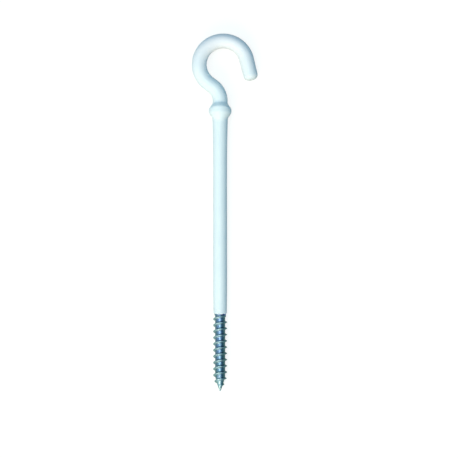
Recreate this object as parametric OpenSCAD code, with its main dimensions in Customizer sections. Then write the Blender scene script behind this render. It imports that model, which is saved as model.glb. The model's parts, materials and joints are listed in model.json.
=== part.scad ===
// Plastic-coated screw hook.
// A steel wire carries a rolled wood-screw thread at one end and a pressed collar near the other,
// where it is bent into an open hook. A white plastic coat covers it from the tip down to the thread.
// The hook lies as it comes to rest: on its collar, on its thread and on its tip.

/* [Steel wire] */
// Diameter of the bare wire
wire_d = 4.8; // [4.5:0.1:5.2]

/* [Thread] */
// Length from the coat's edge to the end of the screw point
thread_l = 32.4; // [24:0.1:45]
// Diameter over the thread's crests
thread_d = 5.75; // [5.4:0.05:6.4]
// Diameter of the core between the thread's turns
root_d = 4; // [3.4:0.05:4.3]
// Advance of the thread in one turn
pitch = 2.6; // [2.2:0.1:3.2]
// Width of the flat on the crest
crest_w = 0.2; // [0.1:0.05:0.4]
// Angle between the two flanks of a turn
flank_angle = 60; // [50:1:65]
// Bare wire left showing between the coat and the core
bare_l = 0.6; // [0.3:0.1:2]
// Length of the taper from the wire down to the core
taper_l = 0.5; // [0.3:0.1:1]
// Length of the gimlet point
point_l = 6.2; // [5:0.1:9]
// Diameter of the blunt end of the point
point_d = 0.3; // [0.2:0.05:0.5]
// Length of the bare spike that ends the point, below the thread
spike_l = 0.75; // [0.5:0.05:2]

/* [Shank and collar] */
// Length from the coat's edge to the middle of the collar
shank_l = 84.5; // [40:0.5:140]
// Diameter over the steel collar
collar_d = 8; // [7:0.1:9]
// Width of the collar's rim
collar_rim = 0.8; // [0.6:0.1:1.6]
// Angle of the collar's two cones to the wire
collar_slope = 32; // [28:1:40]

/* [Hook] */
// Length from the collar's upper foot to the start of the neck's bend
neck_l = 1.1; // [0.9:0.1:5]
// Radius of the neck's bend, at the middle of the wire
neck_r = 7.7; // [6:0.1:9]
// Straight length between the neck's bend and the hook's bend
neck_run = 2; // [0.5:0.1:5]
// Radius of the hook's bend, at the middle of the wire
hook_r = 9.9; // [8:0.1:14]
// How far the middle of the hook's bend lies off the shank's axis
hook_offset = 1.25; // [0:0.05:3]
// Angle at which the tip spreads away from the shank
tip_angle = 14; // [5:1:25]
// Length of the straight tip
tip_l = 9.2; // [6:0.1:12]

/* [Coat] */
// Thickness of the coat on the hook
hook_wall = 0.7; // [0.5:0.05:1]
// Thickness of the coat at the end of the tip
tip_wall = 0.55; // [0.4:0.05:1]
// Thickness of the coat on the shank
shank_wall = 0.48; // [0.4:0.02:0.7]
// Thickness of the coat at its lower edge
edge_wall = 0.36; // [0.3:0.02:0.6]
// Length over which the coat thins out towards that edge
edge_l = 9; // [3:0.5:25]
// Thickness that has run together under the collar
flare_wall = 0.8; // [0.75:0.05:1.1]
// Length over which that thickness fades out
flare_l = 20; // [5:0.5:30]
// Radius in the corners at the foot of the collar
foot_round = 2.5; // [0.5:0.1:3]
// Radius on the two edges of the coated rim
rim_round = 1.3; // [0.5:0.1:1.3]
// Radius on the edge of the coated tip
tip_round = 1.6; // [0.8:0.1:2]
// Radius on the coat's lower edge
lip_round = 0.2; // [0.1:0.05:0.25]

/* [Hidden] */
$fn = 64;

// Steps in a rounded corner and in the flare, and sections of the thread in one turn
corner_steps = 6;
flare_steps = 8;
turn_steps = 36;
// Depth to which the thread's ridge is rooted in the core, and the share of the core's radius kept inside
ridge_root = 0.3;
ridge_inside = 0.25;
// Height that is left of the ridge at its two ends
ridge_end = 0.12;
// How much slimmer a bend is than the straight wire it joins, and how far it turns on into it at each end
seat = 0.01;
seat_sweep = 0.4;

wire_radius = wire_d / 2;
root_radius = root_d / 2;
crest_radius = thread_d / 2;
point_radius = point_d / 2;
collar_radius = collar_d / 2;
hook_radius = wire_radius + hook_wall;

// Heights along the shank, from the coat's edge up, with the thread below it
core_z = -bare_l - taper_l;
point_z = point_l - thread_l;
end_z = spike_l - thread_l;
collar_z = shank_l;
neck_z = collar_z + cone_reach(hook_radius, hook_wall) + neck_l;

// The neck's bend, the straight run and the hook's bend follow on from each other without a kink, so the two
// middles lie both radii apart across the run and its own length apart along it
bend_span = neck_r + hook_r;
neck_sweep = acos((neck_r + hook_offset) / norm([bend_span, neck_run])) - atan2(neck_run, bend_span);
hook_z = neck_z + bend_span * sin(neck_sweep) + neck_run * cos(neck_sweep);
hook_sweep = 180 + neck_sweep - tip_angle;
tip_x = hook_offset + hook_r * cos(tip_angle);
tip_z = hook_z + hook_r * sin(tip_angle);

// The rest: collar and last full turn of thread set the slope, and the tip stops the roll
rim_radius = collar_radius + hook_wall;
rest_slope = atan((rim_radius - crest_radius) / (collar_z - point_z));
tip_radius = wire_radius + tip_wall;
tip_reach = tip_l - tip_round;
touch_radius = tip_radius + (hook_radius - tip_radius) * tip_round / tip_l;
touch_x = tip_x + tip_reach * sin(tip_angle);
touch_z = tip_z - tip_reach * cos(tip_angle);
touch_rise = crest_radius + (touch_z - point_z) * tan(rest_slope);
rest_roll = asin((touch_rise - touch_radius / cos(rest_slope)) / touch_x);

// The middle of the resting hook's outline, and the height of the coat's edge above the floor
side_max = touch_x * cos(rest_roll) + (touch_radius - tip_round) * cos(tip_angle) + tip_round;
side_min = (hook_offset - hook_r) * cos(rest_roll) - hook_radius;
end_max = (hook_z + hook_r) * cos(rest_slope) + hook_radius;
end_min = -thread_l * cos(rest_slope);
edge_height = (crest_radius - point_z * tan(rest_slope)) * cos(rest_slope);

function unit(v) = v / norm(v);
function turned(v, a) = [v.x * cos(a) - v.y * sin(a), v.x * sin(a) + v.y * cos(a)];

// An outline's points, each [radius, height, rounding], with the rounded corners drawn as arcs
function rounded(path) = [
    for (i = [0:len(path) - 1])
        each path[i][2] == undef ? [path[i]] : corner(flat(path[i - 1]), path[i], flat(path[i + 1]))
];
function flat(p) = [p[0], p[1]];
function corner(before, at, after) =
    let (
        back = unit(before - flat(at)),
        ahead = unit(after - flat(at)),
        half = acos(back * ahead) / 2,
        centre = flat(at) + unit(back + ahead) * at[2] / sin(half),
        spoke = flat(at) + back * at[2] / tan(half) - centre,
        turn = (180 - 2 * half) * sign(cross(ahead, back))
    )
    [for (k = [0:corner_steps]) centre + turned(spoke, turn * k / corner_steps)];

// Height above or below the collar's middle at which a cone of that wall over the collar meets a radius
function cone_reach(radius, wall) =
    collar_rim / 2 + (collar_radius + wall / cos(collar_slope) - radius) / tan(collar_slope);

// Radius of the thread's core at a height, and the ridge's height there, which grows over the first turn
// and fades over the last
function core_at(z) =
    z > point_z ? root_radius : root_radius + (point_radius - root_radius) * (point_z - z) / point_l;
function ridge_at(z) =
    let (grown = min(1, (core_z - z) / pitch, (z - end_z) / pitch))
    max(ridge_end, (crest_radius - root_radius + ridge_root) * grown);

// One section of the thread's ridge: its foot inside the core, its flanks and its crest
function ridge_section(z, a) =
    let (
        foot = max(core_at(z) - ridge_root, core_at(z) * ridge_inside),
        top = foot + ridge_at(z),
        half_foot = crest_w / 2 + (top - foot) * tan(flank_angle / 2)
    )
    [
        for (p = [[foot, half_foot], [top, crest_w / 2], [top, -crest_w / 2], [foot, -half_foot]])
            [p.x * cos(a), p.x * sin(a), z + p.y]
    ];

// The ridge winds down from the top of the core as a right-hand thread, section by section
module thread_ridge() {
    ridge_l = core_z - end_z;
    turns = ridge_l / pitch;
    steps = ceil(turns * turn_steps);
    sections = [
        for (s = [0:steps])
            ridge_section(core_z - ridge_l * s / steps, -360 * turns * s / steps)
    ];
    points = [for (section = sections) each section];
    n = len(sections[0]);
    sides = [
        for (s = [0:steps - 1], k = [0:n - 1])
            let (a = n * s + k, b = n * s + (k + 1) % n)
            each [[a, b, b + n], [a, b + n, a + n]]
    ];
    ends = [[for (k = [n - 1:-1:0]) k], [for (k = [0:n - 1]) n * steps + k]];
    polyhedron(points, concat(sides, ends));
}

// Turned outline of the steel, from the screw point up to the neck's bend
module straight_steel() {
    foot = cone_reach(wire_radius, 0);
    rotate_extrude()
        polygon([
            [0, -thread_l],
            [point_radius, -thread_l],
            [root_radius, point_z],
            [root_radius, core_z],
            [wire_radius, -bare_l],
            [wire_radius, collar_z - foot],
            [collar_radius, collar_z - collar_rim / 2],
            [collar_radius, collar_z + collar_rim / 2],
            [wire_radius, collar_z + foot],
            [wire_radius, neck_z],
            [0, neck_z]
        ]);
}

// Turned outline of the coat on the shank and collar
module straight_coat() {
    inner_foot = cone_reach(wire_radius, 0);
    flare_radius = wire_radius + flare_wall;
    lower_foot = cone_reach(flare_radius, hook_wall);
    upper_foot = cone_reach(hook_radius, hook_wall);
    rim_arc = min(rim_round, collar_rim / 2 / tan(collar_slope / 2));
    flare = [
        for (k = [0:flare_steps - 1])
            let (s = k / flare_steps)
            [flare_radius - (flare_wall - shank_wall) * (1 - s * s), collar_z - lower_foot - flare_l * (1 - s)]
    ];
    rotate_extrude()
        polygon(rounded([
            [wire_radius, 0],
            [wire_radius + edge_wall, 0, lip_round],
            [wire_radius + shank_wall, edge_l],
            each flare,
            [flare_radius, collar_z - lower_foot, foot_round],
            [rim_radius, collar_z - collar_rim / 2, rim_arc],
            [rim_radius, collar_z + collar_rim / 2, rim_arc],
            [hook_radius, collar_z + upper_foot, foot_round],
            [hook_radius, neck_z],
            [wire_radius, neck_z],
            [wire_radius, collar_z + inner_foot],
            [collar_radius, collar_z + collar_rim / 2],
            [collar_radius, collar_z - collar_rim / 2],
            [wire_radius, collar_z - inner_foot]
        ]));
}

// Turned outline of the coat on the tip, closed over the end of the wire
module coated_end() {
    rotate_extrude()
        polygon(rounded([
            [wire_radius, 0],
            [hook_radius, 0],
            [tip_radius, tip_l, tip_round],
            [0, tip_l],
            [0, tip_l - tip_wall],
            [wire_radius, tip_l - tip_wall]
        ]));
}

// Section of the bare wire, and of the coat round it, both slimmer by the seat where one is asked for
module wire_section(seat = 0) {
    circle(wire_radius - seat);
}

module coat_section(seat = 0) {
    difference() {
        circle(hook_radius - seat);
        circle(wire_radius + seat);
    }
}

// Carries the first section round the two bends and the second along the straight run between them, and sets the
// tip, drawn upwards from the origin, on the hook's end. Both bends are seated in the straight wire at their ends.
module bent() {
    translate([-neck_r, 0, neck_z])
        rotate([90, 0, 0]) {
            bend(neck_r, neck_sweep)
                children(0);
            rotate([0, 0, neck_sweep])
                translate([neck_r, 0, 0]) {
                    rotate([-90, 0, 0])
                        linear_extrude(neck_run)
                            children(1);
                    translate([hook_r, neck_run, 0])
                        rotate([0, 0, 180 - hook_sweep]) {
                            bend(hook_r, hook_sweep)
                                children(0);
                            translate([hook_r, 0, 0])
                                rotate([90, 0, 0])
                                    children(2);
                        }
                }
        }
}

// One bend of a radius and a sweep, turned on at both ends into the wire that it joins
module bend(radius, sweep) {
    rotate([0, 0, -seat_sweep])
        rotate_extrude(angle = sweep + 2 * seat_sweep)
            translate([radius, 0])
                children();
}

// Lays the upright hook on the floor, with the middle of its outline over the origin
module at_rest() {
    translate([-(side_max + side_min) / 2, -(end_max + end_min) / 2, edge_height])
        rotate([rest_slope - 90, 0, 0])
            rotate([0, 0, rest_roll])
                children();
}

module steel_hook() {
    color([0.6, 0.67, 0.72])
        at_rest() {
            straight_steel();
            thread_ridge();
            bent() {
                wire_section(seat);
                wire_section();
                cylinder(r = wire_radius, h = tip_l - tip_wall);
            }
        }
}

module plastic_coat() {
    color([0.92, 0.97, 0.98])
        at_rest() {
            straight_coat();
            bent() {
                coat_section(seat);
                coat_section();
                coated_end();
            }
        }
}

steel_hook();
plastic_coat();
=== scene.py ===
"""Plastic-coated screw hook: a bent steel wire with a wood-screw thread, and the white coat on it."""

import json
import math

import bmesh
import bpy
from mathutils import Euler, Matrix, Vector, noise


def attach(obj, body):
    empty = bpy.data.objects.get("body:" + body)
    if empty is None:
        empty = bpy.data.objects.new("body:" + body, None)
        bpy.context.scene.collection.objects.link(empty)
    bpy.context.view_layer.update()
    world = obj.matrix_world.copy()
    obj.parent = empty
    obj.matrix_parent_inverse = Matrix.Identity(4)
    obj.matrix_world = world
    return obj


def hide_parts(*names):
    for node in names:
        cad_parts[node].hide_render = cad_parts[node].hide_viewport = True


bl_info = {
    "name": "Coated screw hook",
    "version": (1, 0, 0),
    "blender": (4, 5, 0),
    "location": "3D View > Sidebar > Screw hook",
    "description": "Models a plastic-coated screw hook where it lies, with its finishes and a plain studio",
    "category": "Object",
}

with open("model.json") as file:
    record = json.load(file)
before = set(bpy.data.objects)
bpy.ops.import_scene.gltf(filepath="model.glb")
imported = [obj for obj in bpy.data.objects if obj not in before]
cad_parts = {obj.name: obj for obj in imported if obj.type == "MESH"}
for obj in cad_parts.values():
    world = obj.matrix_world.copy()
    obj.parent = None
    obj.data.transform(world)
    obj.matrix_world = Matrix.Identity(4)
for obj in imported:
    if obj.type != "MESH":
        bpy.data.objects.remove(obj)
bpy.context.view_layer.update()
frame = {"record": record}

MM = 0.001
# Distance within which two points are taken as one.
NEAR = 0.002 * MM
BODY = "root"

MOUNTS = {mount["name"]: mount for mount in frame["record"]["mounts"]}
THREAD = MOUNTS["wood_screw_thread"]
SADDLE = MOUNTS["hook_saddle"]


def resting_place():
    """The matrix that lays the hook where the CAD part lies. Each piece is modelled upright first, from
    the middle of the coat's lower edge: +Z runs up the shank, +X to the side of the tip and -Y towards the
    camera."""
    edge = Vector(THREAD["pos_m"])
    up = -Vector(THREAD["axis"]).normalized()
    to_saddle = Vector(SADDLE["pos_m"]) - edge
    side = (to_saddle - up * to_saddle.dot(up)).normalized()
    turn = Matrix((side, up.cross(side), up)).transposed()
    return Matrix.Translation(edge) @ turn.to_4x4()


LAID = resting_place()


def linear(code):
    """Linear colour of an sRGB hex code."""
    parts = [int(code[i:i + 2], 16) / 255 for i in (1, 3, 5)]
    return tuple(p / 12.92 if p <= 0.04045 else ((p + 0.055) / 1.055) ** 2.4 for p in parts)


def length(name, description, default):
    """A length in the panel, with its default in millimetres."""
    return bpy.props.FloatProperty(
        name=name, description=description, default=default * MM, unit="LENGTH", precision=5
    )


def angle(name, description, default):
    """An angle in the panel, with its default in degrees."""
    return bpy.props.FloatProperty(
        name=name, description=description, default=math.radians(default), subtype="ANGLE"
    )


def share(name, description, default):
    """A share from 0 to 1 in the panel."""
    return bpy.props.FloatProperty(
        name=name, description=description, default=default, min=0, max=1, subtype="FACTOR"
    )


def colour(name, description, default):
    """A colour in the panel, with its default as an sRGB hex code."""
    return bpy.props.FloatVectorProperty(
        name=name, description=description, default=linear(default), min=0, max=1, subtype="COLOR"
    )


def power(name, description, default):
    """A lamp's power in the panel, in watts."""
    return bpy.props.FloatProperty(name=name, description=description, default=default, unit="POWER")


class WireSizes(bpy.types.PropertyGroup):
    """Sizes of the steel: the wire, its thread and its bends."""

    wire_d: length("Wire", "Diameter of the bare wire", 4.8)
    thread_l: length("Threaded end", "From the coat's edge to the end of the screw point", 32.4)
    thread_d: length("Thread", "Diameter over the thread's crests", 2 * THREAD["dims"]["r_mm"])
    root_d: length("Core", "Diameter of the core between the thread's turns", 4.2)
    pitch: length("Pitch", "Advance of the thread in one turn", 2.6)
    crest_w: length("Crest", "Width of the crest before it is rounded", 0.3)
    crest_round: length("Crest rounding", "Radius on the edges of the crest", 0.12)
    root_round: length("Root rounding", "Radius between the flanks and the core", 0.28)
    flank_angle: angle("Flanks", "Angle between the two flanks of a turn", 60)
    bare_l: length("Bare wire", "Bare wire between the coat and the taper to the core", 0.6)
    taper_l: length("Taper", "Length of the taper from the wire to the core", 0.5)
    point_l: length("Point", "Length of the gimlet point", 6.2)
    point_d: length("Point's end", "Diameter of the blunt end of the point", 0.3)
    point_swell: length("Point's swell", "How far the point swells out past a straight cone", 0.15)
    spike_l: length("Spike", "Bare end of the point, below the thread", 0.75)
    run_top: length("Thread's start", "From the coat's edge down to where the thread begins to rise", 0.3)
    run_in: length("Run-in", "Height over which the thread rises to its full size", 2)
    run_out: share("Run-out", "Share of the crest's height that is sunk where the last turn ends", 0.34)
    shank_l: length("Shank", "From the coat's edge to the middle of the collar", 84.5)
    collar_d: length("Collar", "Diameter over the steel collar", 8)
    collar_rim: length("Collar's rim", "Width of the collar's rim", 0.8)
    collar_slope: angle("Collar's cones", "Angle of the collar's two cones to the wire", 32)
    neck_l: length("Neck", "From the collar's upper foot to the neck's bend", 1.1)
    neck_r: length("Neck's bend", "Radius of the neck's bend, at the middle of the wire", 7.7)
    neck_run: length("Neck's run", "Straight length between the neck's bend and the hook's bend", 2)
    hook_r: length("Hook's bend", "Radius of the hook's bend, at the middle of the wire", 9.9)
    hook_offset: length("Hook's offset", "How far the hook's middle lies off the shank's axis", 1.25)
    tip_angle: angle("Tip's spread", "Angle at which the tip spreads away from the shank", 14)
    tip_l: length("Tip", "Length of the straight tip", 9.2)
    end_round: length("End's rounding", "Radius on the edge of the wire's end, under the coated tip", 0.9)


class CoatSizes(bpy.types.PropertyGroup):
    """Sizes of the dipped coat."""

    hook_wall: length("On the hook", "Thickness of the coat on the hook", 0.7)
    tip_wall: length("On the tip", "Thickness of the coat at the end of the tip", 0.55)
    shank_wall: length("On the shank", "Thickness of the coat on the shank", 0.48)
    edge_wall: length("At the edge", "Thickness of the coat at its lower edge", 0.36)
    edge_l: length("Edge's length", "Length over which the coat thins out towards that edge", 9)
    flare_wall: length("Under the collar", "Thickness that has run together under the collar", 0.8)
    flare_l: length("Flare", "Length over which that thickness fades out", 20)
    foot_round: length("Foot's rounding", "Radius in the corner under the bead", 3.5)
    rim_round: length("Rim's rounding", "Radius on the lower edge of the bead's rim", 2.4)
    rim_width: length("Rim's width", "Width of the bead's rim, before its edges are rounded", 1.8)
    shoulder_round: length("Shoulder's rounding", "Radius on the upper edge of the bead's rim", 1.3)
    neck_round: length("Neck's rounding", "Radius in the corner where the neck rises from the bead", 1.5)
    neck_rise: length("Neck's rise", "How much higher that corner lies on the bead's two faces", 0.3)
    face_rise: length("Bead's rise", "How much higher the rim reaches on the bead's two faces", 0.7)
    face_drop: length("Bead's drop", "How much lower the bead reaches on its two faces", 1.1)
    tip_round: length("Tip's rounding", "Radius on the edge of the coated tip", 2.2)
    lip_round: length("Lip's rounding", "Radius on the coat's lower edge", 0.2)
    lip_reach: length("Lip's reach", "Height over which the unevenness of the lower edge fades out", 3)
    lip_dip: length("Lip's dip", "How much lower the edge hangs on the side that lies uppermost", 0.7)
    wander: length("Wander", "How far the lower edge wanders up and down", 0.2)
    ripple: length("Ripple", "How far the waves of the coat's surface go in", 0.04)
    ripple_l: length("Ripple's length", "Distance between two waves of the coat", 7)
    inset: length("Inset", "How far the surface is set in, to stay within the part's outline", 0.01)
    clearance: length("Clearance", "Gap between the coat and the wire", 0.01)


class Finishes(bpy.types.PropertyGroup):
    """Colours and pattern sizes of the two materials."""

    vinyl: colour("Vinyl", "White of the coat", "#E5F7F5")
    vinyl_thick: colour("Thick vinyl", "White of the coat where it is thickest, on the hook", "#EEF5F3")
    vinyl_thin: colour("Thin vinyl", "White of the coat where it is thinnest", "#DDF0F2")
    thick_from: length("Thicker from", "Height at which the white of the hook begins", 95)
    thick_at: length("Thickest at", "Height from which the white is that of the hook", 112)
    cloud_l: length("Clouds", "Distance between the clouds in the coat's white and sheen", 9)
    peel_l: length("Orange peel", "Distance between the bumps of the coat's orange peel", 0.9)
    # Pale zinc: worn on the crests and the point, and painted light on the lower flanks.
    zinc: colour("Zinc", "Rubbed zinc on the crests", "#B2D6D8")
    zinc_blue: colour("Blue zinc", "Blue film on the zinc in the roots", "#88A4BC")
    zinc_green: colour("Green zinc", "Green tinge where the film is thicker", "#82A8AE")
    # Painted shade: the deep blue band under the coat's edge.
    painted_shade_deep_blue: colour("Deep blue zinc", "Film next to the coat, deepened by the heat of dipping", "#48619A")
    # The next four colours are painted shade across the wire: a little on the left, none in the middle,
    # most on the right.
    painted_shade_left: colour("Film on the left", "What the film lets through on the left side", "#B2C0BA")
    unshaded_middle: colour("Thin film", "What the film lets through in the middle", "#FFFFFF")
    painted_shade_mid_right: colour("Thick film", "What the film lets through right of the middle", "#A4BDBE")
    painted_shade_right: colour("Film on the right", "What the film lets through on the right side", "#709A8F")
    patch_l: length("Patches", "Distance between the green patches of the film", 3)
    line_w: length("Rolling lines", "Width of the lines that rolling left on the steel", 0.25)
    # These two heights also bound the painted light on the lower flanks.
    rub_low: length("Rubbing's foot", "Height above the core at which the film begins to be rubbed", 0.05)
    rub_high: length("Rubbing's top", "Height above the core from which the film is rubbed off", 0.4)
    rub_start: length("Rubbed point", "From the start of the point to where its rubbing begins", 0.3)
    rub_fade: length("Rubbed point's fade", "Length over which the rubbing of the point sets in", 2)
    # Reach and fade of the painted shade under the coat's edge.
    under_coat_shade_l: length("Heated film", "How far from the coat the heat of dipping reached", 1.3)
    under_coat_shade_fade: length("Heated film's fade", "Length over which the heated film fades out", 0.6)


class Studio(bpy.types.PropertyGroup):
    """The floor, the light and the camera."""

    floor_size: length("Floor", "Width of the floor", 12000)
    floor_colour: colour("Floor's colour", "Grey of the floor under the studio light", "#76827B")
    floor_lift: share("Floor's white", "White added where the floor is seen or mirrored", 0.86)
    sky_colour: colour("Sky", "Colour of the light from all round", "#93D2FF")
    sky_strength: share("Sky's strength", "Strength of the light from all round", 0.63)
    sky_right: share("Sky on the right", "Strength of the light from the far right", 0.32)
    sky_top: share("Sky at the top", "Strength of the light from beyond the hook", 0.2)
    lamp_distance: length("Lamps' distance", "From the hook to each lamp", 1600)
    key_colour: colour("Key light's colour", "Colour of the key light", "#FFDBB0")
    key_power: power("Key light", "Power of the key light", 19.6)
    key_size: length("Key light's size", "Width of the key light", 1000)
    key_low: angle("Key light's tilt", "How far the key light lies towards the screw point", 45)
    key_left: angle("Key light's side", "How far the key light lies to the left", 25)
    front_colour: colour("Front light's colour", "Colour of the front light", "#FFFFFF")
    front_power: power("Front light", "Power of the front light", 8.4)
    front_size: length("Front light's size", "Width of the front light", 880)
    front_low: angle("Front light's tilt", "How far the front light lies towards the screw point", 0)
    front_left: angle("Front light's side", "How far the front light lies to the left", 10)
    side_colour: colour("Side light's colour", "Colour of the side light", "#FFFFFF")
    side_power: power("Side light", "Power of the side light", 3.4)
    side_size: length("Side light's size", "Width of the side light", 1400)
    side_low: angle("Side light's tilt", "How far the side light lies towards the screw point", 15)
    side_left: angle("Side light's side", "How far the side light lies to the left", 65)
    lens: bpy.props.FloatProperty(
        name="Lens", description="Focal length of the camera", default=1000, unit="CAMERA"
    )
    view_width: length("View", "Width that the picture takes in at the shank", 189.02)
    view_tilt: angle("View's tilt", "How far the camera lies towards the screw point", 9)
    aim_x: length("Aim's side", "From the shank's axis to the middle of the picture", 3.65)
    aim_z: length("Aim's height", "From the coat's edge up to the middle of the picture", 35.18)


def edges_of(geometry):
    """The edges among the elements that an operator gives back."""
    return [element for element in geometry if isinstance(element, bmesh.types.BMEdge)]


def verts_of(geometry):
    """The vertices among the elements that an operator gives back."""
    return [element for element in geometry if isinstance(element, bmesh.types.BMVert)]


def drawn(bm, ring, outline, place=None):
    """Draws a ring of edges out along an outline of [radius, height] points, about the Z axis of a place,
    and returns the last ring. The ring lies on the first point."""
    place = place or Matrix()
    for start, end in zip(outline, outline[1:]):
        scale = end[0] / start[0]
        step = Matrix.Translation((0, 0, end[1])) @ Matrix.Diagonal((scale, scale, 1, 1))
        step = step @ Matrix.Translation((0, 0, -start[1]))
        made = bmesh.ops.extrude_edge_only(bm, edges=ring)["geom"]
        bmesh.ops.transform(bm, matrix=place @ step @ place.inverted(), verts=verts_of(made))
        ring = edges_of(made)
    return ring


def collar_reach(sizes, radius, wall):
    """Height from the collar's middle to where a cone of that wall over the collar meets a radius."""
    top = sizes.collar_d / 2 + wall / math.cos(sizes.collar_slope)
    return sizes.collar_rim / 2 + (top - radius) / math.tan(sizes.collar_slope)


def bends(sizes, coat):
    """Height at which the neck's bend starts, the angle that it turns through, and the height of the hook's
    middle. The two bends and the straight run between them follow on from each other without a kink."""
    upper_foot = collar_reach(sizes, sizes.wire_d / 2 + coat.hook_wall, coat.hook_wall)
    neck_z = sizes.shank_l + upper_foot + sizes.neck_l
    span = sizes.neck_r + sizes.hook_r
    sweep = math.acos((sizes.neck_r + sizes.hook_offset) / math.hypot(span, sizes.neck_run))
    sweep -= math.atan2(sizes.neck_run, span)
    hook_z = neck_z + span * math.sin(sweep) + sizes.neck_run * math.cos(sweep)
    return neck_z, sweep, hook_z


def turned(bm, ring, centre, turn, steps):
    """Carries a ring of edges round a bend in the hook's plane, and returns the ring at its end."""
    count = round(steps * abs(turn) / math.tau)
    made = bmesh.ops.spin(bm, geom=ring, cent=centre, axis=(0, 1, 0), angle=turn, steps=count)
    return edges_of(made["geom_last"])


def bent(bm, ring, sizes, coat, steps):
    """Carries a ring of edges from the neck's start to the end of the hook's bend, and returns it there."""
    neck_z, sweep, hook_z = bends(sizes, coat)
    ring = turned(bm, ring, (-sizes.neck_r, 0, neck_z), -sweep, steps)
    made = bmesh.ops.extrude_edge_only(bm, edges=ring)["geom"]
    run = Vector((-math.sin(sweep), 0, math.cos(sweep))) * sizes.neck_run
    bmesh.ops.translate(bm, vec=run, verts=verts_of(made))
    over_top = math.pi + sweep - sizes.tip_angle
    return turned(bm, edges_of(made), (sizes.hook_offset, 0, hook_z), over_top, steps)


def tip_place(sizes, coat):
    """The matrix of the straight tip: its Z axis runs from the end of the hook's bend to the wire's end."""
    hook_z = bends(sizes, coat)[2]
    start = (
        sizes.hook_offset + sizes.hook_r * math.cos(sizes.tip_angle),
        0,
        hook_z + sizes.hook_r * math.sin(sizes.tip_angle),
    )
    return Matrix.Translation(start) @ Matrix.Rotation(math.pi - sizes.tip_angle, 4, "Y")


def rounded(bm, edges, radius, segments):
    """Rounds edges at which two faces meet to that radius."""
    bm.normal_update()
    turn = edges[0].calc_face_angle()
    bmesh.ops.bevel(
        bm,
        geom=edges,
        offset=radius * math.tan(turn / 2),
        segments=segments,
        profile=0.5,
        affect="EDGES",
        material=-1,
    )


def along_wire(bm, ring, sizes, coat, gap, steps):
    """Draws a ring of edges up the wire from the coat's edge, over the collar and round the bends to the
    rounded end of the tip, which it closes. The surface lies that gap outside the steel."""
    wire = sizes.wire_d / 2 + gap
    collar = sizes.collar_d / 2 + gap
    half_rim = sizes.collar_rim / 2
    foot = collar_reach(sizes, wire, gap)
    outline = (
        (wire, 0),
        (wire, sizes.shank_l - foot),
        (collar, sizes.shank_l - half_rim),
        (collar, sizes.shank_l + half_rim),
        (wire, sizes.shank_l + foot),
        (wire, bends(sizes, coat)[0]),
    )
    ring = bent(bm, drawn(bm, ring, outline), sizes, coat, steps)
    end = ((wire, 0), (wire, sizes.tip_l - coat.tip_wall + gap))
    ring = drawn(bm, ring, end, tip_place(sizes, coat))
    bmesh.ops.edgeloop_fill(bm, edges=ring)
    rounded(bm, ring, sizes.end_round, segments=4)


def ring_at(bm, radius, height, place=None):
    """The edges that go round the axis of a place at that radius and height."""
    back = (place or Matrix()).inverted()

    def on_ring(vert):
        point = back @ vert.co
        return abs(point.z - height) < NEAR and abs(point.xy.length - radius) < NEAR

    return [edge for edge in bm.edges if all(map(on_ring, edge.verts))]


def laid_piece(bm, name, material, smooth_below):
    """Lays a finished upright mesh in its resting place as a piece of the object."""
    bmesh.ops.remove_doubles(bm, verts=bm.verts, dist=NEAR)
    bmesh.ops.recalc_face_normals(bm, faces=bm.faces)
    bmesh.ops.transform(bm, matrix=LAID, verts=bm.verts)
    mesh = bpy.data.meshes.new(name)
    bm.to_mesh(mesh)
    bm.free()
    mesh.shade_smooth()
    mesh.set_sharp_from_angle(angle=smooth_below)
    mesh.materials.append(material)
    piece = bpy.data.objects.new(name, mesh)
    bpy.context.scene.collection.objects.link(piece)
    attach(piece, BODY)
    return piece


def add(tree, kind, settings, links=None):
    """Adds a node, gives its properties and sockets their settings, and links other nodes' outputs to its
    sockets."""
    node = tree.nodes.new("ShaderNode" + kind)
    for name, value in settings.items():
        if isinstance(name, str) and hasattr(node, name):
            setattr(node, name, value)
        else:
            node.inputs[name].default_value = value
    for name, source in (links or {}).items():
        tree.links.new(source, node.inputs[name])
    return node


def new_material(name):
    """An empty node material and its tree."""
    material = bpy.data.materials.new(name)
    material.use_nodes = True
    material.node_tree.nodes.clear()
    return material, material.node_tree


def upright_coordinates(tree):
    """Object coordinates turned back to the upright hook, from the middle of the coat's lower edge."""
    coordinates = add(tree, "TexCoord", {})
    place = {"vector_type": "TEXTURE", "Location": LAID.translation, "Rotation": LAID.to_euler()}
    mapping = add(tree, "Mapping", place, {"Vector": coordinates.outputs["Object"]})
    return mapping.outputs["Vector"]


# The sockets of a Mix node that take two colours and give the mixed one.
COLOUR_A, COLOUR_B, MIXED = 6, 7, 2


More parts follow.
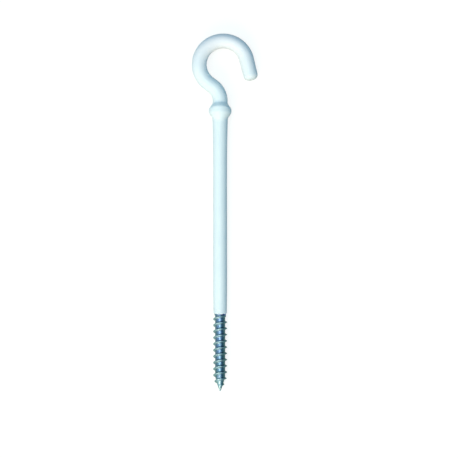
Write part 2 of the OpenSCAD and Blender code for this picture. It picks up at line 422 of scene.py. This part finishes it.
def dipped_vinyl(finishes, coat):
    """White PVC plastisol, dipped and cured: an even, half-gloss skin. The eye gets a soft sheen that
    wavers in slow clouds, a fine orange peel, a purer white on the hook, where the skin is thickest, and a
    slightly greyer one at the lower edge, where it thins out."""
    material, tree = new_material("dipped_white_vinyl")
    upright = upright_coordinates(tree)
    place = add(tree, "SeparateXYZ", {}, {"Vector": upright})
    clouds = add(tree, "TexNoise", {"Scale": 1 / finishes.cloud_l, "Detail": 2.0}, {"Vector": upright})
    near_edge = add(
        tree,
        "MapRange",
        {"From Min": coat.lip_reach, "From Max": 0.0, "To Max": 0.7},
        {"Value": place.outputs["Z"]},
    )
    patches = add(
        tree,
        "MapRange",
        {"From Min": 0.4, "From Max": 0.7, "To Max": 0.35},
        {"Value": clouds.outputs["Fac"]},
    )
    thin = add(
        tree,
        "Math",
        {"operation": "MAXIMUM"},
        {0: near_edge.outputs["Result"], 1: patches.outputs["Result"]},
    )
    thick = add(
        tree,
        "MapRange",
        {"From Min": finishes.thick_from, "From Max": finishes.thick_at},
        {"Value": place.outputs["Z"]},
    )
    white = add(
        tree,
        "Mix",
        {"data_type": "RGBA", COLOUR_A: (*finishes.vinyl, 1), COLOUR_B: (*finishes.vinyl_thick, 1)},
        {0: thick.outputs["Result"]},
    )
    white = add(
        tree,
        "Mix",
        {"data_type": "RGBA", COLOUR_B: (*finishes.vinyl_thin, 1)},
        {0: thin.outputs["Value"], COLOUR_A: white.outputs[MIXED]},
    )
    gloss = add(
        tree,
        "MapRange",
        {"From Min": 0.3, "From Max": 0.7, "To Min": 0.34, "To Max": 0.44},
        {"Value": clouds.outputs["Fac"]},
    )
    # Orange peel is some 0.4 mm across and hardly stands out, so it is drawn about twice as wide.
    peel = add(tree, "TexNoise", {"Scale": 1 / finishes.peel_l, "Detail": 1.0}, {"Vector": upright})
    bump = add(
        tree, "Bump", {"Strength": 0.08, "Distance": 0.02 * MM}, {"Height": peel.outputs["Fac"]}
    )
    shader = add(
        tree,
        "BsdfPrincipled",
        {"IOR": 1.53, "Specular IOR Level": 0.15},
        {
            "Base Color": white.outputs[MIXED],
            "Roughness": gloss.outputs["Result"],
            "Normal": bump.outputs["Normal"],
        },
    )
    add(tree, "OutputMaterial", {}, {"Surface": shader.outputs["BSDF"]})
    return material


def wire_coordinates(tree, upright):
    """Height up the wire, distance from its axis, angle round it, and place across it from left to right,
    from -1 to 1."""
    place = add(tree, "SeparateXYZ", {}, {"Vector": upright})
    flat = add(tree, "VectorMath", {"operation": "MULTIPLY", 1: (1.0, 1.0, 0.0)}, {0: upright})
    radius = add(tree, "VectorMath", {"operation": "LENGTH"}, {0: flat.outputs["Vector"]})
    turn = add(
        tree, "Math", {"operation": "ARCTAN2"}, {0: place.outputs["Y"], 1: place.outputs["X"]}
    )
    across = add(
        tree, "Math", {"operation": "DIVIDE"}, {0: place.outputs["X"], 1: radius.outputs["Value"]}
    )
    return place.outputs["Z"], radius.outputs["Value"], turn.outputs["Value"], across.outputs["Value"]


def rubbed_crests_painted_flanks(tree, height, radius, turn, finishes, sizes):
    """Where handling wore the crests of the thread, and where painted light falls on the lower flanks."""
    risen = add(
        tree,
        "Math",
        {
            "operation": "MULTIPLY_ADD",
            1: 1 / sizes.pitch,
            2: (sizes.bare_l + sizes.taper_l) / sizes.pitch,
        },
        {0: height},
    )
    ahead = add(
        tree,
        "Math",
        {"operation": "MULTIPLY_ADD", 1: -1 / math.tau},
        {0: turn, 2: risen.outputs["Value"]},
    )
    # Turns from the middle of the nearest ridge, below it negative.
    from_ridge = add(
        tree, "Math", {"operation": "WRAP", 1: 0.5, 2: -0.5}, {0: ahead.outputs["Value"]}
    )
    # Below the ridge's middle lies the lower flank, which faces the lamps and takes the pale zinc as
    # painted light.
    lower = add(
        tree,
        "MapRange",
        {"From Min": 0.06, "From Max": 0.0},
        {"Value": from_ridge.outputs["Value"]},
    )
    root = sizes.root_d / 2
    raised = add(
        tree,
        "MapRange",
        {"From Min": root + finishes.rub_low, "From Max": root + finishes.rub_high},
        {"Value": radius},
    )
    # Worn crests, and the lower flanks that get painted light.
    crests = add(
        tree,
        "Math",
        {"operation": "MULTIPLY"},
        {0: lower.outputs["Result"], 1: raised.outputs["Result"]},
    )
    return crests.outputs["Value"]


def rubbed_and_painted_light(tree, crests, height, across, finishes, sizes):
    """Where the zinc shows pale: worn on the crests and the point, painted light on the lower flanks, and
    less towards the right, where painted shade falls.
    """
    rub_z = sizes.point_l - sizes.thread_l - finishes.rub_start
    point = add(
        tree,
        "MapRange",
        {"From Min": rub_z, "From Max": rub_z - finishes.rub_fade, "To Max": 0.9},
        {"Value": height},
    )
    either = add(tree, "Math", {"operation": "MAXIMUM"}, {0: crests, 1: point.outputs["Result"]})
    # Painted shade: the pale zinc fades towards the right.
    painted_crest_shade = add(
        tree,
        "MapRange",
        {"From Min": 0.1, "From Max": 0.55, "To Min": 1.0, "To Max": 0.35},
        {"Value": across},
    )
    wear_and_painted_light = add(
        tree,
        "Math",
        {"operation": "MULTIPLY"},
        {0: either.outputs["Value"], 1: painted_crest_shade.outputs["Result"]},
    )
    return wear_and_painted_light.outputs["Value"]


def painted_side_shade(tree, across, finishes):
    """Painted shade across the wire: a little on the left edge, none in the middle, most on the right."""
    along = add(tree, "MapRange", {"From Min": -1.0, "From Max": 1.0}, {"Value": across})
    tints = add(tree, "ValToRGB", {}, {"Fac": along.outputs["Result"]})
    stops = (
        (0.05, finishes.painted_shade_left),
        (0.35, finishes.unshaded_middle),
        (0.5, finishes.unshaded_middle),
        (0.7, finishes.painted_shade_mid_right),
        (0.9, finishes.painted_shade_right),
    )
    ramp = tints.color_ramp
    ramp.interpolation = "EASE"
    for stop, tint in stops:
        ramp.elements.new(stop).color = (*tint, 1)
    for end in (0, -1):
        ramp.elements.remove(ramp.elements[end])
    return tints.outputs["Color"]


def painted_shade_under_coat(tree, height, across, finishes):
    """Painted shade under the coat's edge, deeper towards the right."""
    near_coat = add(
        tree,
        "MapRange",
        {"From Min": -finishes.under_coat_shade_l, "From Max": finishes.under_coat_shade_fade - finishes.under_coat_shade_l},
        {"Value": height},
    )
    # The painted shade is deeper towards the right.
    deeper_to_right = add(
        tree,
        "MapRange",
        {"From Min": -0.5, "From Max": 0.3, "To Min": 0.2, "To Max": 0.8},
        {"Value": across},
    )
    shade_near_coat = add(
        tree,
        "Math",
        {"operation": "MULTIPLY"},
        {0: near_coat.outputs["Result"], 1: deeper_to_right.outputs["Result"]},
    )
    return shade_near_coat.outputs["Value"]


def blue_zinc(finishes, sizes):
    """Rolled steel with bright zinc plating under a blue passivation film. The film gives the roots and the
    upper flanks their blue, with a green tinge in patches, and painted shade darkens the sides, above all
    the right. The crests and the point, worn by handling, show paler, chalky zinc, the lower flanks get the
    same pale zinc as painted light, and painted shade lies as a deep blue line under the coat."""
    material, tree = new_material("blue_passivated_zinc")
    upright = upright_coordinates(tree)
    height, radius, turn, across = wire_coordinates(tree, upright)
    patches = add(tree, "TexNoise", {"Scale": 1 / finishes.patch_l, "Detail": 3.0}, {"Vector": upright})
    green = add(
        tree,
        "MapRange",
        {"From Min": 0.45, "From Max": 0.65},
        {"Value": patches.outputs["Fac"]},
    )
    film = add(
        tree,
        "Mix",
        {"data_type": "RGBA", COLOUR_A: (*finishes.zinc_blue, 1), COLOUR_B: (*finishes.zinc_green, 1)},
        {0: green.outputs["Result"]},
    )
    crests = rubbed_crests_painted_flanks(tree, height, radius, turn, finishes, sizes)
    wear_and_painted_light = rubbed_and_painted_light(tree, crests, height, across, finishes, sizes)
    # Pale zinc where the crests and the point are worn and where painted light falls on the lower flanks.
    plating = add(
        tree,
        "Mix",
        {"data_type": "RGBA", COLOUR_B: (*finishes.zinc, 1)},
        {0: wear_and_painted_light, COLOUR_A: film.outputs[MIXED]},
    )
    # Painted shade across the wire, most on the right.
    plating = add(
        tree,
        "Mix",
        {"data_type": "RGBA", "blend_type": "MULTIPLY", 0: 1.0},
        {COLOUR_A: plating.outputs[MIXED], COLOUR_B: painted_side_shade(tree, across, finishes)},
    )
    # Painted shade: a deep blue band under the coat's edge, deeper to the right.
    plating = add(
        tree,
        "Mix",
        {"data_type": "RGBA", COLOUR_B: (*finishes.painted_shade_deep_blue, 1)},
        {0: painted_shade_under_coat(tree, height, across, finishes), COLOUR_A: plating.outputs[MIXED]},
    )
    # The rolling dies leave lines along the wire a few hundredths of a millimetre wide, drawn wider here.
    stretched = add(tree, "Mapping", {"Scale": (1.0, 1.0, 0.15)}, {"Vector": upright})
    lines = add(
        tree,
        "TexNoise",
        {"Scale": 1 / finishes.line_w, "Detail": 2.0},
        {"Vector": stretched.outputs["Vector"]},
    )
    sheen = add(
        tree,
        "MapRange",
        {"From Min": 0.3, "From Max": 0.7, "To Min": 0.34, "To Max": 0.48},
        {"Value": lines.outputs["Fac"]},
    )
    roughness = add(
        tree, "Math", {"operation": "MULTIPLY_ADD", 1: 0.12}, {0: wear_and_painted_light, 2: sheen.outputs["Result"]}
    )
    bare = add(tree, "MapRange", {"To Min": 1.0, "To Max": 0.75}, {"Value": wear_and_painted_light})
    bump = add(
        tree, "Bump", {"Strength": 0.15, "Distance": 0.02 * MM}, {"Height": lines.outputs["Fac"]}
    )
    shader = add(
        tree,
        "BsdfPrincipled",
        {},
        {
            "Base Color": plating.outputs[MIXED],
            "Metallic": bare.outputs["Result"],
            "Roughness": roughness.outputs["Value"],
            "Normal": bump.outputs["Normal"],
        },
    )
    add(tree, "OutputMaterial", {}, {"Surface": shader.outputs["BSDF"]})
    return material


class SCREW_HOOK_OT_steel_wire(bpy.types.Operator):
    """Models the bent steel wire with its collar, its wood-screw thread and its gimlet point"""

    bl_idname = "screw_hook.steel_wire"
    bl_label = "Steel wire"

    # Steps in a turn of the thread, across half of the root between two turns, and in a full bend.
    TURN_STEPS = 72
    ROOT_STEPS = 4
    BEND_STEPS = 72
    # Turns that are wound beyond the two ends of the thread, and cut off again.
    SPARE_ABOVE = 2
    SPARE_BELOW = 1

    def execute(self, context):
        sizes = context.scene.hook_wire
        coat = context.scene.hook_coat
        bm = bmesh.new()
        top = self.thread(bm, sizes)
        along_wire(bm, top, sizes, coat, 0, self.BEND_STEPS)
        material = blue_zinc(context.scene.hook_finishes, sizes)
        piece = laid_piece(bm, "threaded_wire", material, smooth_below=math.radians(50))
        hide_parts("steel_hook")
        return {"FINISHED"}

    def thread(self, bm, sizes):
        """Winds one turn's outline up the core as a right-hand thread, sets it on the tapered core, cuts
        both ends off square and returns the ring at the top, which has the wire's diameter."""
        root, crest = sizes.root_d / 2, sizes.thread_d / 2
        core_z = -sizes.bare_l - sizes.taper_l
        half_foot = sizes.crest_w / 2 + (crest - root) * math.tan(sizes.flank_angle / 2)
        gap = sizes.pitch / 2 - half_foot
        steps = range(self.ROOT_STEPS + 1)
        half = [(root, sizes.pitch / 2 - gap * step / self.ROOT_STEPS) for step in steps]
        half.append((crest, sizes.crest_w / 2))
        turns = math.ceil((sizes.thread_l + core_z) / sizes.pitch) + self.SPARE_ABOVE + self.SPARE_BELOW
        first_z = core_z - (turns - self.SPARE_ABOVE) * sizes.pitch
        outline = [(r, first_z - h) for r, h in half] + [(r, first_z + h) for r, h in reversed(half)]
        verts = [bm.verts.new((r, 0, z)) for r, z in outline]
        edges = [bm.edges.new(pair) for pair in zip(verts, verts[1:])]
        bmesh.ops.spin(
            bm,
            geom=edges,
            cent=(0, 0, 0),
            axis=(0, 0, 1),
            dvec=(0, 0, sizes.pitch / self.TURN_STEPS),
            angle=math.tau * turns,
            steps=self.TURN_STEPS * turns,
        )
        bmesh.ops.remove_doubles(bm, verts=bm.verts, dist=NEAR)
        bm.normal_update()
        sharp = [e for e in bm.edges if e.is_manifold and e.calc_face_angle() > sizes.flank_angle / 2]
        middle = (root + crest) / 2
        crests = [e for e in sharp if e.verts[0].co.xy.length > middle]
        roots = [e for e in sharp if e.verts[0].co.xy.length < middle]
        rounded(bm, roots, sizes.root_round, segments=3)
        rounded(bm, [e for e in crests if e.is_valid], sizes.crest_round, segments=2)
        for vert in bm.verts:
            self.place_on_core(vert, sizes)
        point_end = self.cut(bm, -sizes.thread_l, -1)
        bmesh.ops.edgeloop_fill(bm, edges=point_end)
        return self.cut(bm, 0, 1)

    def cut(self, bm, height, way):
        """Cuts off what lies beyond a height, up or down, and returns the ring of edges there."""
        made = bmesh.ops.bisect_plane(
            bm,
            geom=bm.verts[:] + bm.edges[:] + bm.faces[:],
            plane_co=(0, 0, height),
            plane_no=(0, 0, way),
            clear_outer=True,
        )
        return edges_of(made["geom_cut"])

    def place_on_core(self, vert, sizes):
        """Sets a point of the straight thread on the core, which widens to the wire at the top and narrows
        along the point, and lets the turns rise out of the wire and die out above the spike."""
        root, point_z = sizes.root_d / 2, sizes.point_l - sizes.thread_l
        along = min(1, max(0, (point_z - vert.co.z) / sizes.point_l))
        widened = min(1, max(0, (vert.co.z + sizes.bare_l + sizes.taper_l) / sizes.taper_l))
        # Eased in and out, so that the taper meets the wire and the core without a corner.
        widened *= widened * (3 - 2 * widened)
        core = root + (sizes.point_d / 2 - root) * along + (sizes.wire_d / 2 - root) * widened
        # The swell is full halfway along the point, and nothing at its two ends.
        core += 4 * sizes.point_swell * along * (1 - along)
        risen = (-sizes.run_top - vert.co.z) / sizes.run_in
        left = (vert.co.z - sizes.spike_l + sizes.thread_l) / sizes.pitch
        shown = max(0, min(1, risen, left - sizes.run_out * (1 - left)))
        radius = vert.co.xy.length
        vert.co.xy *= (core + (radius - root) * shown) / radius


class SCREW_HOOK_OT_vinyl_coat(bpy.types.Operator):
    """Models the dipped coat, from its uneven lower edge to the closed tip of the hook"""

    bl_idname = "screw_hook.vinyl_coat"
    bl_label = "Vinyl coat"

    # Steps round the wire and in a full bend, and the distance between rings on the straights.
    ROUND_STEPS = 96
    BEND_STEPS = 144
    RING_GAP = 2 * MM
    # Height that is kept free of rings for the tip's rounding, as a share of its radius.
    TIP_ROOM = 1.1
    # How finely the lower edge wanders round the wire.
    WANDER_SCALE = 2.2

    def execute(self, context):
        sizes = context.scene.hook_wire
        coat = context.scene.hook_coat
        bm = bmesh.new()
        lip = self.outside(bm, sizes, coat)
        self.ripple(bm, coat)
        along_wire(bm, lip, sizes, coat, coat.clearance, self.BEND_STEPS)
        self.wander(bm, coat)
        material = dipped_vinyl(context.scene.hook_finishes, coat)
        piece = laid_piece(bm, "dipped_coat", material, smooth_below=math.radians(60))
        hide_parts("plastic_coat")
        return {"FINISHED"}

    def shank_outline(self, sizes, coat, foot_z):
        """Points up the shank: the coat thickens from its edge, and flares out towards the collar."""
        count = round(foot_z / self.RING_GAP)
        points = []
        for step in range(count + 1):
            height = foot_z * step / count
            flare = max(0, (height - foot_z + coat.flare_l) / coat.flare_l) ** 2
            rise = min(1, height / coat.edge_l)
            wall = coat.edge_wall + (coat.shank_wall - coat.edge_wall) * rise
            wall += (coat.flare_wall - coat.shank_wall) * flare
            points.append((sizes.wire_d / 2 + wall, height))
        return points

    def tip_outline(self, sizes, coat):
        """Points along the straight tip, where the coat thins out towards its end."""
        hook = sizes.wire_d / 2 + coat.hook_wall
        thinning = (coat.tip_wall - coat.hook_wall) / sizes.tip_l
        straight = sizes.tip_l - self.TIP_ROOM * coat.tip_round
        count = round(straight / self.RING_GAP)
        heights = [straight * step / count for step in range(count + 1)] + [sizes.tip_l]
        return [(hook + thinning * height, height) for height in heights]

    def outside(self, bm, sizes, coat):
        """Draws the coat's outer surface up from its lower edge, closes it over the tip, draws the bead out
        on its front and back, rounds the edges and returns the ring inside the lower edge."""
        wire = sizes.wire_d / 2
        hook = wire + coat.hook_wall
        rim = sizes.collar_d / 2 + coat.hook_wall
        half_rim = coat.rim_width / 2
        low_foot = sizes.shank_l - collar_reach(sizes, wire + coat.flare_wall, coat.hook_wall)
        high_foot = sizes.shank_l + collar_reach(sizes, hook, coat.hook_wall)
        shank = self.shank_outline(sizes, coat, low_foot)
        collar = (
            (rim, sizes.shank_l - half_rim),
            (rim, sizes.shank_l + half_rim),
            (hook, high_foot),
            (hook, bends(sizes, coat)[0]),
        )
        made = bmesh.ops.create_circle(bm, segments=self.ROUND_STEPS, radius=shank[0][0])
        lower = list({edge for vert in made["verts"] for edge in vert.link_edges})
        ring = bent(bm, drawn(bm, lower, (*shank, *collar)), sizes, coat, self.BEND_STEPS)
        place = tip_place(sizes, coat)
        tip = self.tip_outline(sizes, coat)
        bmesh.ops.edgeloop_fill(bm, edges=drawn(bm, ring, tip, place))
        lip = drawn(bm, lower, (shank[0], (wire + coat.clearance, 0)))
        rounded(bm, ring_at(bm, *shank[0]), coat.lip_round, segments=4)
        rounded(bm, ring_at(bm, *tip[-1], place), coat.tip_round, segments=8)
        bead = (
            (ring_at(bm, *shank[-1]), -coat.face_drop, coat.foot_round),
            (ring_at(bm, *collar[0]), 0, coat.rim_round),
            (ring_at(bm, *collar[1]), coat.face_rise, coat.shoulder_round),
            (ring_at(bm, *collar[2]), coat.neck_rise, coat.neck_round),
        )
        for ring, reach, _ in bead:
            for vert in {vert for edge in ring for vert in edge.verts}:
                vert.co.z += reach * (vert.co.y / vert.co.xy.length) ** 2
        for ring, _, radius in bead:
            rounded(bm, ring, radius, segments=6)
        return lip

    def ripple(self, bm, coat):
        """Sets the outer surface in a little, with slow waves in it, as a dipped skin sets."""
        bm.normal_update()
        for vert in bm.verts:
            free = min(1, max(0, vert.co.z / coat.lip_reach))
            wave = (1 - noise.noise(vert.co / coat.ripple_l)) / 2
            vert.co -= vert.normal * (wave * coat.ripple * free + coat.inset)

    def wander(self, bm, coat):
        """Lets the lower edge hang lower on one side and wander up and down round the wire."""
        for vert in bm.verts:
            near = 1 - min(1, max(0, vert.co.z / coat.lip_reach))
            if near > 0:
                way = Vector((vert.co.x, vert.co.y, 0)).normalized()
                vert.co.z += noise.noise(way * self.WANDER_SCALE) * coat.wander * near
                vert.co.z -= max(0, -way.y) * coat.lip_dip * near


class SCREW_HOOK_OT_studio(bpy.types.Operator):
    """Sets the pale floor, the soft light and the camera"""

    bl_idname = "screw_hook.studio"
    bl_label = "Studio"

    LAMPS = ("key", "front", "side")
    # The part of a direction that points right, or past the hook, where the sky begins and ends its fall.
    RIGHT_BAND = (0.5, 0.9)
    TOP_BAND = (0.3, 0.8)

    def execute(self, context):
        scene = context.scene
        studio = scene.hook_studio
        scene.view_settings.view_transform = "Standard"
        self.floor(scene, studio)
        self.sky(scene, studio)
        for name in self.LAMPS:
            self.soft_box(scene, studio, name)
        self.camera(scene, studio)
        return {"FINISHED"}

    def floor(self, scene, studio):
        """A plain floor. Where it is seen or mirrored it is lifted to white, and it keeps the shadow."""
        bm = bmesh.new()
        bmesh.ops.create_grid(bm, x_segments=1, y_segments=1, size=studio.floor_size / 2)
        mesh = bpy.data.meshes.new("floor")
        bm.to_mesh(mesh)
        bm.free()
        material, tree = new_material("pale_floor")
        path = add(tree, "LightPath", {})
        seen = add(
            tree,
            "Math",
            {"operation": "MAXIMUM"},
            {0: path.outputs["Is Camera Ray"], 1: path.outputs["Is Glossy Ray"]},
        )
        seen = add(
            tree,
            "Math",
            {"operation": "MAXIMUM"},
            {0: seen.outputs["Value"], 1: path.outputs["Is Transmission Ray"]},
        )
        lift = add(
            tree, "Math", {"operation": "MULTIPLY", 1: studio.floor_lift}, {0: seen.outputs["Value"]}
        )
        white = add(tree, "Emission", {}, {"Strength": lift.outputs["Value"]})
        paint = add(tree, "BsdfDiffuse", {"Color": (*studio.floor_colour, 1)})
        both = add(tree, "AddShader", {}, {0: white.outputs["Emission"], 1: paint.outputs["BSDF"]})
        add(tree, "OutputMaterial", {}, {"Surface": both.outputs["Shader"]})
        material.cycles.emission_sampling = "NONE"
        mesh.materials.append(material)
        floor = bpy.data.objects.new("floor", mesh)
        scene.collection.objects.link(floor)

    def sky(self, scene, studio):
        """Cool light from all round, which falls off towards the right and beyond the hook."""
        world = bpy.data.worlds.new("studio")
        world.use_nodes = True
        tree = world.node_tree
        tree.nodes.clear()
        coordinates = add(tree, "TexCoord", {})
        way = add(tree, "SeparateXYZ", {}, {"Vector": coordinates.outputs["Generated"]})
        sides = (("X", self.RIGHT_BAND, studio.sky_right), ("Y", self.TOP_BAND, studio.sky_top))
        falls = []
        for axis, (start, end), strength in sides:
            fall = add(
                tree,
                "MapRange",
                {"From Min": start, "From Max": end, "To Min": studio.sky_strength, "To Max": strength},
                {"Value": way.outputs[axis]},
            )
            falls.append(fall.outputs["Result"])
        dimmer = add(tree, "Math", {"operation": "MINIMUM"}, {0: falls[0], 1: falls[1]})
        light = {"Color": (*studio.sky_colour, 1)}
        sky = add(tree, "Background", light, {"Strength": dimmer.outputs["Value"]})
        add(tree, "OutputWorld", {}, {"Surface": sky.outputs["Background"]})
        scene.world = world

    def soft_box(self, scene, studio, name):
        """A round soft lamp: the key light models the coat, the front light draws the shine down the
        thread, and the side light fills in the left."""
        light = bpy.data.lights.new(name, "AREA")
        light.shape = "DISK"
        light.size = getattr(studio, name + "_size")
        light.color = getattr(studio, name + "_colour")
        light.energy = getattr(studio, name + "_power")
        lamp = bpy.data.objects.new(name, light)
        towards = Vector((0, -1, 0))
        towards.rotate(Euler((getattr(studio, name + "_low"), 0, 0)))
        towards.rotate(Euler((0, 0, -getattr(studio, name + "_left"))))
        towards = LAID.to_3x3() @ towards
        aim = LAID @ Vector((studio.aim_x, 0, studio.aim_z))
        lamp.matrix_world = (
            Matrix.Translation(aim + towards * studio.lamp_distance)
            @ towards.to_track_quat("Z", "Y").to_matrix().to_4x4()
        )
        scene.collection.objects.link(lamp)

    def camera(self, scene, studio):
        """A long lens, square to the plane of the hook and a little towards the screw point."""
        data = bpy.data.cameras.new("camera")
        data.lens = studio.lens
        camera = bpy.data.objects.new("camera", data)
        back = Vector((0, -math.cos(studio.view_tilt), -math.sin(studio.view_tilt)))
        right = Vector((1, 0, 0))
        turn = Matrix((right, back.cross(right), back)).transposed().to_4x4()
        distance = studio.view_width * studio.lens / data.sensor_width
        aim = Vector((studio.aim_x, 0, studio.aim_z))
        camera.matrix_world = LAID @ Matrix.Translation(aim + back * distance) @ turn
        scene.collection.objects.link(camera)
        scene.camera = camera


class SCREW_HOOK_PT_panel(bpy.types.Panel):
    """Lists the pieces and their sizes in the sidebar"""

    bl_idname = "SCREW_HOOK_PT_panel"
    bl_label = "Screw hook"
    bl_space_type = "VIEW_3D"
    bl_region_type = "UI"
    bl_category = "Screw hook"

    def draw(self, context):
        for operator in STEPS:
            self.layout.operator(operator.bl_idname)
        for name in GROUPS:
            box = self.layout.box()
            group = getattr(context.scene, name)
            for key in group.bl_rna.properties.keys():
                if key not in ("rna_type", "name"):
                    box.prop(group, key)


GROUPS = {
    "hook_wire": WireSizes,
    "hook_coat": CoatSizes,
    "hook_finishes": Finishes,
    "hook_studio": Studio,
}
STEPS = (SCREW_HOOK_OT_steel_wire, SCREW_HOOK_OT_vinyl_coat, SCREW_HOOK_OT_studio)
CLASSES = (*GROUPS.values(), *STEPS, SCREW_HOOK_PT_panel)


def register():
    """Registers the classes and hangs the settings on the scene."""
    for each in CLASSES:
        bpy.utils.register_class(each)
    for name, group in GROUPS.items():
        setattr(bpy.types.Scene, name, bpy.props.PointerProperty(type=group))


def unregister():
    """Takes the settings and the classes away again."""
    for name in GROUPS:
        delattr(bpy.types.Scene, name)
    for each in reversed(CLASSES):
        bpy.utils.unregister_class(each)


def main():
    """Makes the pieces and the stage in order."""
    register()
    bpy.ops.screw_hook.steel_wire()
    bpy.ops.screw_hook.vinyl_coat()
    bpy.ops.screw_hook.studio()


if __name__ == "__main__":
    main()
